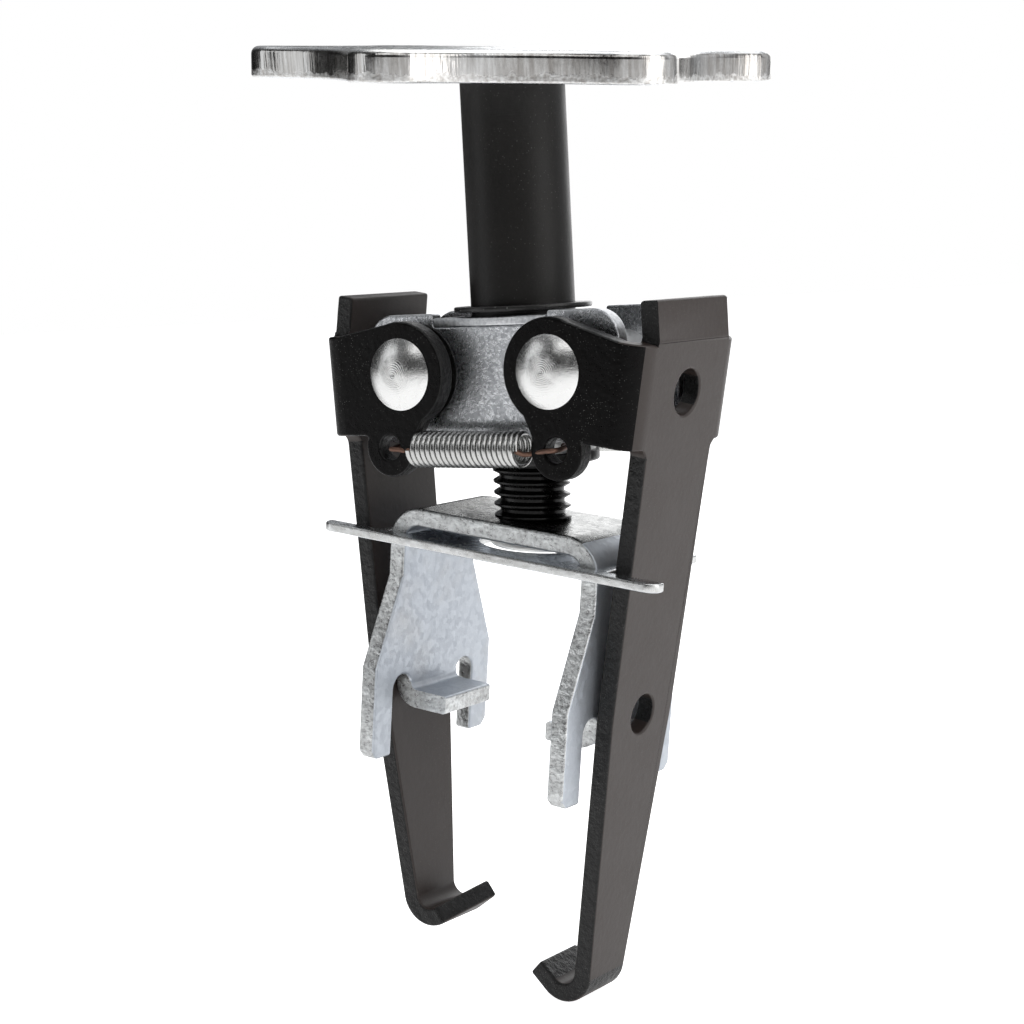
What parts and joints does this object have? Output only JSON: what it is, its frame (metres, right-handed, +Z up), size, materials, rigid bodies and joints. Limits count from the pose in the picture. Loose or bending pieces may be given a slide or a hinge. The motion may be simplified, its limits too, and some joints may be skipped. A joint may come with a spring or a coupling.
{
  "type": "two-jaw valve spring compressor",
  "caption": "Hand wheel and threaded sleeve that push a forked yoke down between sprung hooked jaws; a compact two-jaw compressor and separator tool.",
  "frame": {"origin": "centre of the bounding box in plan, at the level of the lower jaw's hook", "axes": "+Z up along the screw, towards the hand wheel; X across the two jaws; -Y is the front, where one spring shows"},
  "size_m": [0.0728, 0.0786, 0.1514],
  "materials": {
    "zinc": "zinc plated sheet steel",
    "black_oxide": "satin black coated steel",
    "bright_steel": "bright zinc, peened heads",
    "spring_steel": "drawn spring wire"
  },
  "bodies": {
    "housing": {"housing": "zinc", "top_plate": "zinc", "left_rivet": "bright_steel", "right_rivet": "bright_steel", "left_spacer": "bright_steel", "right_spacer": "bright_steel"},
    "hand_drive": {"hand_wheel": "zinc", "drive_tube": "black_oxide", "retaining_ring": "black_oxide", "thrust_washer": "bright_steel", "thrust_flange": "black_oxide"},
    "screw_yoke": {"screw": "black_oxide", "screw_rivet": "bright_steel", "yoke": "zinc", "guide_plate": "zinc"},
    "left_washers": {"left_washers": "black_oxide"},
    "right_washers": {"right_washers": "black_oxide"},
    "left_jaw": {"left_jaw": "black_oxide", "front_spring": "spring_steel", "back_spring": "spring_steel"},
    "right_jaw": {"right_jaw": "black_oxide"}
  },
  "joints": [
    {"name": "wheel_spin", "type": "hinge", "parent": "housing", "child": "hand_drive", "pos_m": [0, 0, 0.10735], "axis": [0, 0, 1], "range_deg": [-5143, 1234]},
    {"name": "screw_travel", "type": "slide", "parent": "housing", "child": "screw_yoke", "axis": [0, 0, 1], "range_m": [-0.0251, 0.0061]},
    {"name": "left_spread", "type": "hinge", "parent": "housing", "child": "left_washers", "pos_m": [-0.01358, 0, 0.0985], "axis": [0, 1, 0], "range_deg": [-0.4, 1.4]},
    {"name": "right_spread", "type": "hinge", "parent": "housing", "child": "right_washers", "pos_m": [0.01358, 0, 0.0985], "axis": [0, -1, 0], "range_deg": [-1.5, 5.7]},
    {"name": "left_jaw_open", "type": "hinge", "parent": "left_washers", "child": "left_jaw", "pos_m": [-0.01358, 0, 0.0985], "axis": [0, 1, 0], "range_deg": [0, 25], "deforming": ["front_spring", "back_spring"]},
    {"name": "right_jaw_open", "type": "hinge", "parent": "right_washers", "child": "right_jaw", "pos_m": [0.01358, 0, 0.0985], "axis": [0, -1, 0], "range_deg": [0, 25]}
  ],
  "couplings": [
    {"joint": "screw_travel", "follows": "wheel_spin", "m_per_rad": 0.00027852},
    {"joint": "left_spread", "follows": "wheel_spin", "ratio": -0.000243},
    {"joint": "right_spread", "follows": "wheel_spin", "ratio": -0.0010695}
  ]
}
